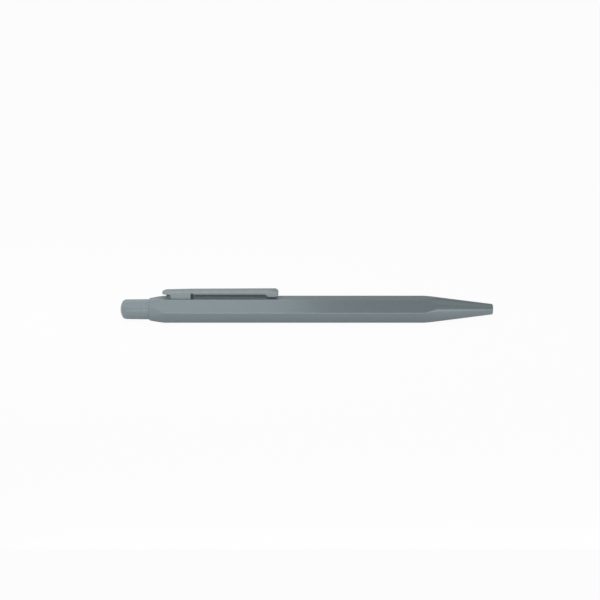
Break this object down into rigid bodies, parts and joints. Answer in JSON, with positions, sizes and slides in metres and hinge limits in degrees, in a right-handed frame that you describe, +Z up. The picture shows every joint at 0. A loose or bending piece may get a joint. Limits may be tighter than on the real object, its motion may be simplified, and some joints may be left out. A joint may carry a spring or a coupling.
{
  "type": "ballpoint pen",
  "caption": "Slim hexagonal metal ballpoint pen with a turned conical nose, a folded spring clip and a push button that slides the sprung refill's point out.",
  "frame": {"origin": "on the ground, under the middle of the pen's whole length, with the pen lying on one flat", "axes": "+X from the push button to the writing point, +Z up through the clip, +Y across the barrel"},
  "size_m": [0.13, 0.0096, 0.0114],
  "materials": {
    "coated_aluminium": "satin grey coating on turned and milled bar",
    "coated_steel": "satin grey coating on folded spring steel sheet",
    "brass": "turned",
    "cam_plastic": "moulded, natural white",
    "plug_plastic": "moulded, in the ink's colour",
    "steel": "drawn and turned",
    "polished_ball": "polished",
    "ink": "thick liquid"
  },
  "bodies": {
    "barrel": {"barrel": "coated_aluminium", "clip_foot": "coated_steel", "mechanism_housing": "brass", "cam_sleeve": "cam_plastic", "return_spring": "steel"},
    "button": {"push_button": "coated_aluminium", "plunger": "cam_plastic"},
    "refill": {"refill_tube": "steel", "refill_plug": "plug_plastic", "ink_column": "ink", "tip_holder": "brass", "writing_tip": "steel"},
    "rotor": {"cam_rotor": "cam_plastic"},
    "ball": {"tip_ball": "polished_ball"},
    "clip": {"clip_arm": "coated_steel"}
  },
  "joints": [
    {"name": "button_slide", "type": "slide", "parent": "barrel", "child": "button", "axis": [1, 0, 0], "range_m": [0, 0.006], "stiffness_N_per_m": 600, "deforming": ["return_spring"]},
    {"name": "refill_slide", "type": "slide", "parent": "barrel", "child": "refill", "axis": [1, 0, 0], "range_m": [0, 0.006]},
    {"name": "rotor_turn", "type": "hinge", "parent": "refill", "child": "rotor", "pos_m": [0, 0, 0.00425], "axis": [1, 0, 0], "range_deg": [0, 22.5]},
    {"name": "ball_roll", "type": "hinge", "parent": "refill", "child": "ball", "pos_m": [0.0627, 0, 0.00425], "axis": [0, 1, 0], "continuous": true},
    {"name": "clip_flex", "type": "hinge", "parent": "barrel", "child": "clip", "pos_m": [-0.04043, 0, 0.01131], "axis": [0, -1, 0], "range_deg": [0, 3], "stiffness_Nm_per_rad": 2.3}
  ],
  "couplings": [
    {"joint": "refill_slide", "follows": "button_slide", "ratio": 1},
    {"joint": "rotor_turn", "follows": "button_slide", "rad_per_m": 65.4}
  ]
}
